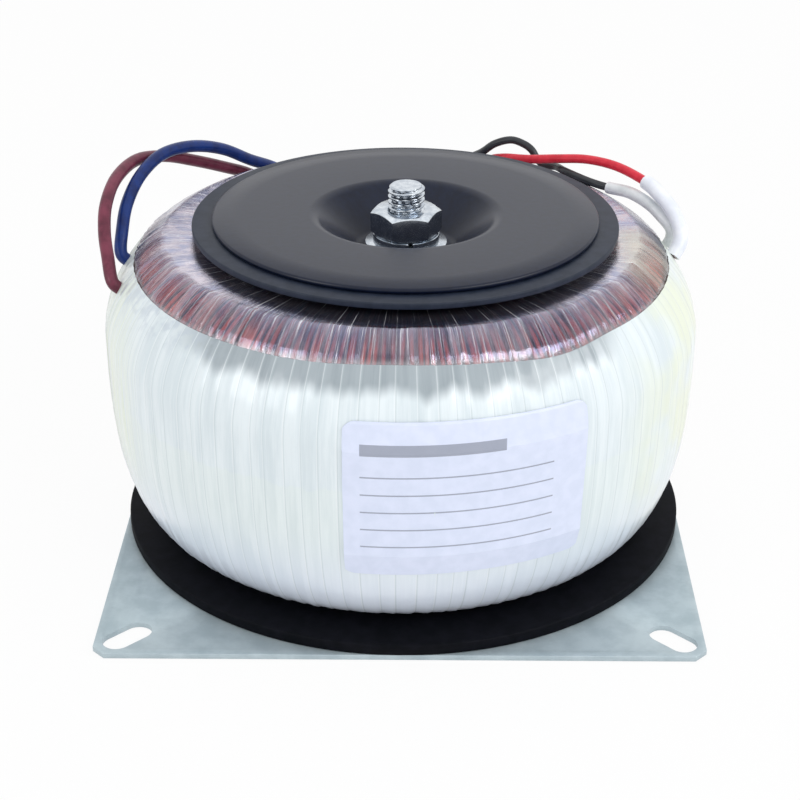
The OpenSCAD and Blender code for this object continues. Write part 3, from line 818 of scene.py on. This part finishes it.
brown_route = [[-78.8, -13, 76.3], [-80.4, -8, 81], [-82, -1.5, 86], [-82.4, 6, 91],
    [-81, 17, 94.6], [-77, 29, 95.7], [-70.4, 39, 93.4], [-62.8, 47, 89.3], [-55, 54.5, 84.7],
    [-48.5, 62, 80], [-43.5, 70, 73.5], [-41, 77, 63], [-40, 81, 50], [-39.5, 83, 36],
    [-39.5, 85, 22], [-40, 89, 10], [-41, 97, 3.5], [-42, 107, 1.9], [-44, 121, 1.9],
    [-48, 136, 1.9]]
blue_route = [[-78.5, 2, 78.3], [-78.5, 6, 83.2], [-77.8, 13, 88.7], [-75, 22, 93.7],
    [-70, 32, 96.5], [-62.8, 42, 95.5], [-55, 50.5, 91.8], [-47.7, 57.5, 86.1],
    [-41, 65, 81], [-35, 73, 74], [-31, 80, 63], [-29, 83.5, 50], [-28.5, 85, 36],
    [-28.5, 87, 22], [-28, 91, 10], [-27, 99, 3.5], [-25, 109, 1.9], [-22, 123, 1.9],
    [-20, 138, 1.9]]
black_route = [[76.4, 16.5, 76.6], [75, 17.5, 81.5], [72.6, 20, 83.9], [69.2, 24, 86.2],
    [64.3, 30, 87.3], [58.3, 35, 87], [52.8, 39, 87.4], [46.5, 47, 87.5], [44.3, 53, 86.7],
    [41, 58.5, 85.2], [39, 61.5, 86.1], [37.4, 62.5, 88.5], [34.9, 63.5, 90.1],
    [31, 64.5, 91], [26.2, 66, 89.2], [22.4, 69, 85.4], [17.5, 74, 81], [13, 79.5, 74],
    [10, 83.5, 62], [8, 85, 48], [6, 86, 34], [6, 88, 20], [6, 93, 8.5], [6, 103, 2],
    [7, 116, 1.4], [9, 130, 1.4]]
red_route = [[77.9, 7, 77.3], [76.9, 13, 83.3], [74.7, 18, 87.3], [71.6, 22, 90],
    [68.4, 28, 91.4], [61.1, 37, 92.6], [53, 44.5, 92.1], [44.6, 50, 90.3], [36, 56, 87.9],
    [29.3, 63, 85.8], [25, 69, 82.9], [23, 75, 78], [21.5, 80.5, 69], [20.5, 83.5, 56],
    [19, 85, 40], [19, 86, 26], [19, 89, 13], [19.5, 96, 4], [20.5, 106, 1.5],
    [22, 119, 1.5], [25, 133, 1.5]]
thick_d, red_d, black_d = 0.0035, 0.0027, 0.0023
tinned = mottled("tinned_strands", tint(180, 184, 188), tint(215, 218, 220), 900, 0.3, 0.9)
white_sleeve = mottled("white_sleeve", tint(224, 229, 240), tint(238, 241, 248), 200, 0.32)
clear_sleeve = mottled("clear_sleeve", tint(212, 217, 220), tint(232, 235, 238), 200, 0.25)
lay_lead("brown", brown_route, [[-76.4, -13.4, 73.9], brown_route[0]], thick_d,
         tint(88, 34, 52), tint(118, 52, 72))
lay_lead("blue", blue_route, [[-76.2, 1.4, 75.9], blue_route[0]], thick_d,
         tint(2, 30, 88), tint(10, 48, 118))
lay_lead("black", black_route, [[74, 16.4, 76.4], [75.2, 16.8, 78.8]], black_d,
         tint(40, 42, 46), tint(54, 57, 62), (6, 0.0035, clear_sleeve))
lay_lead("red", red_route, [[74.8, 8, 76.8], [76.8, 10, 80]], red_d,
         tint(198, 34, 54), tint(222, 50, 68), (5, 0.0043, white_sleeve))


# Studio: a white floor and white surroundings, a broad dim lamp above, a long one low on the
# right whose reflection runs along the taped shoulder, and dim ones on the left and behind.
# The floor is clear from below. Floor and surroundings light the object less than they show.
bpy.ops.object.select_all(action="DESELECT")
bpy.ops.mesh.primitive_plane_add(size=6, location=(0, 0, -0.0002))
ground = bpy.context.active_object
ground.name = "studio_floor"
white_floor, tree, shader = new_material("white_floor", 0.9)
shader.inputs["Base Color"].default_value = (0.8, 0.8, 0.8, 1)
floor_glow = 0.93
room_light = 0.71
room_seen = 1.0


def seen_directly(tree):
    """1 for what the camera, a mirror or glass shows, 0 for what lights the object."""
    rays = add(tree, "ShaderNodeLightPath")
    seen = maths(tree, "ADD", rays.outputs["Is Camera Ray"], rays.outputs["Is Glossy Ray"])
    return maths(tree, "ADD", seen, rays.outputs["Is Transmission Ray"], clamp=True)


def either(tree, amount, first, second):
    """Shader between two others."""
    node = add(tree, "ShaderNodeMixShader")
    for socket, value in zip(node.inputs, (amount, first, second)):
        tree.links.new(value, socket)
    return node.outputs[0]


glow = add(tree, "ShaderNodeEmission").outputs[0]
glowing = either(tree, times(tree, seen_directly(tree), floor_glow), shader.outputs[0], glow)
from_below = add(tree, "ShaderNodeNewGeometry").outputs["Backfacing"]
open_below = either(tree, from_below, glowing, add(tree, "ShaderNodeBsdfTransparent").outputs[0])
tree.links.new(open_below, tree.nodes["Material Output"].inputs["Surface"])
dress(ground, white_floor)

world = bpy.data.worlds.new("white_room")
bpy.context.scene.world = world
world.use_nodes = True
tree = world.node_tree
backdrop = tree.nodes["Background"]
backdrop.inputs["Color"].default_value = (1, 1, 1, 1)
room = maths(tree, "MULTIPLY_ADD", seen_directly(tree), room_seen - room_light, room_light)
tree.links.new(room, backdrop.inputs["Strength"])


def lamp(name, place, target, size, power):
    light = bpy.data.lights.new(name, "AREA")
    light.shape = "RECTANGLE"
    light.size, light.size_y = size
    light.energy = power
    piece = bpy.data.objects.new(name, light)
    piece.location = place
    piece.rotation_euler = (Vector(target) - Vector(place)).to_track_quat("-Z", "Y").to_euler()
    bpy.context.collection.objects.link(piece)


lamp("ceiling", (0, 0.10, 0.95), (0, 0.10, 0), (1.2, 1.8), 2.0)
lamp("window_right", (0.70, -0.44, 0.58), (0, 0, 0.05), (0.8, 0.26), 3.5)
lamp("soft_left", (-0.8, -0.6, 0.5), (0, 0, 0.05), (0.4, 0.5), 2.2)
lamp("back_panel", (0, 1.0, 0.55), (0, 0, 0.08), (1.3, 0.5), 0.3)


# Camera: a long lens in front of the label, a little to the right, that looks down on the clamp
# plate. It is turned to its direction, then tipped down, and leans a little.
lens = bpy.data.cameras.new("camera")
lens.sensor_width = 36
lens.lens = 83.0
lens.shift_x = -0.0915
lens.clip_start = 0.01
camera = bpy.data.objects.new("camera", lens)
bpy.context.collection.objects.link(camera)
camera_place = (0.0051, -0.4713, 0.2743)
direction, tip_up, lean = math.radians(-1.74), math.radians(63.08), math.radians(1.33)
aim = (Matrix.Rotation(direction, 4, "Z") @ Matrix.Rotation(tip_up, 4, "X")
       @ Matrix.Rotation(lean, 4, "Z"))
camera.matrix_world = Matrix.Translation(camera_place) @ aim
bpy.context.scene.camera = camera
bpy.context.scene.view_settings.view_transform = "Standard"
